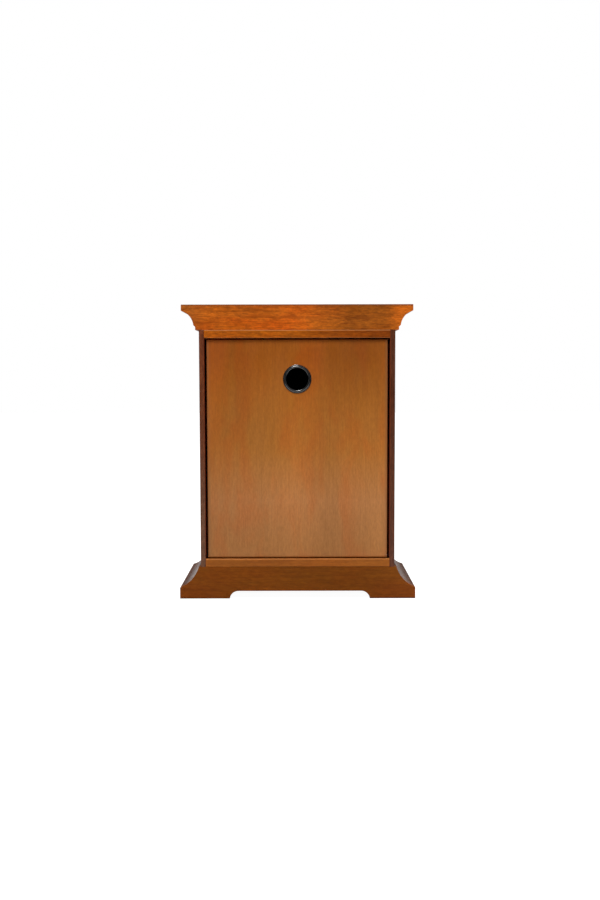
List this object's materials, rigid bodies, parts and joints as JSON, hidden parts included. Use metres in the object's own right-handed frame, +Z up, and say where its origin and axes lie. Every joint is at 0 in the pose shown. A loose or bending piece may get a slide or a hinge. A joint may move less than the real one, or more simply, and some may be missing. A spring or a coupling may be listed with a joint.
{
  "type": "book drop box",
  "caption": "Wooden book drop cabinet with a coved crown, bracket feet, a flap slot in its front and a drop-down access door with a finger ring.",
  "frame": {"origin": "centre of the cabinet's footprint, on the floor", "axes": "+Z up, +Y towards the front with the book slot, -Y towards the rear with the access door, +X to the right of someone facing the access door"},
  "size_m": [0.56, 0.32, 0.696],
  "materials": {
    "crown_lacquer": "satin orange-brown cherry stain under lacquer, grain along the board",
    "plinth_lacquer": "satin dark reddish-brown cherry stain under lacquer, grain along the board",
    "side_lacquer": "satin reddish-brown cherry stain under lacquer, upright grain",
    "panel_lacquer": "satin tan-brown veneer under lacquer, upright cathedral grain",
    "raw_wood": "plain unfinished softwood",
    "black_plastic": "moulded black plastic, semi-gloss",
    "black_steel": "black powder coat",
    "bright_steel": "zinc-plated steel",
    "nylon": "off-white nylon",
    "brown_plastic": "brown moulded plastic",
    "black_rubber": "soft black rubber",
    "felt": "dark green wool felt over foam"
  },
  "bodies": {
    "cabinet": {"side_panel_left": "side_lacquer", "side_panel_right": "side_lacquer", "top_board": "crown_lacquer", "bottom_board": "crown_lacquer", "front_panel": "panel_lacquer", "slot_trim_top": "plinth_lacquer", "slot_trim_bottom": "plinth_lacquer", "slot_trim_left": "plinth_lacquer", "slot_trim_right": "plinth_lacquer", "crown_rear_board": "crown_lacquer", "crown_moulding_left": "crown_lacquer", "crown_moulding_right": "crown_lacquer", "crown_moulding_front": "crown_lacquer", "crown_rail_left": "raw_wood", "crown_rail_right": "raw_wood", "crown_rail_front": "raw_wood", "crown_top_panel": "crown_lacquer", "crown_corner_blocks": "raw_wood", "crown_screws": "bright_steel", "plinth_rear_board": "plinth_lacquer", "plinth_moulding_left": "plinth_lacquer", "plinth_moulding_right": "plinth_lacquer", "plinth_moulding_front": "plinth_lacquer", "plinth_rail_left": "raw_wood", "plinth_rail_right": "raw_wood", "plinth_rail_front": "raw_wood", "plinth_corner_blocks": "raw_wood", "plinth_screws": "bright_steel", "glides": "nylon", "door_bushes": "nylon", "door_washers": "nylon", "door_stop": "side_lacquer", "catch_case_left": "brown_plastic", "catch_case_right": "brown_plastic", "catch_magnets": "bright_steel", "catch_screws": "bright_steel", "flap_rod": "bright_steel", "rod_clips": "bright_steel", "flap_bracket_left": "black_steel", "flap_bracket_right": "black_steel", "bracket_screws": "bright_steel", "flap_bumpers": "black_rubber", "chute_board": "panel_lacquer", "chute_cleat_left": "raw_wood", "chute_cleat_right": "raw_wood", "chute_screws": "bright_steel", "floor_mat": "felt"},
    "door": {"access_door": "panel_lacquer", "finger_ring": "black_plastic", "ring_collar": "black_plastic", "door_pin_left": "bright_steel", "door_pin_right": "bright_steel", "strike_plate_left": "bright_steel", "strike_plate_right": "bright_steel", "strike_screws": "bright_steel"},
    "flap": {"slot_flap": "black_steel"}
  },
  "joints": [
    {"name": "door_hinge", "type": "hinge", "parent": "cabinet", "child": "door", "pos_m": [0, -0.147, 0.1022], "axis": [1, 0, 0], "range_deg": [0, 90]},
    {"name": "flap_hinge", "type": "hinge", "parent": "cabinet", "child": "flap", "pos_m": [0, 0.0855, 0.572], "axis": [-1, 0, 0], "range_deg": [0, 65]}
  ]
}
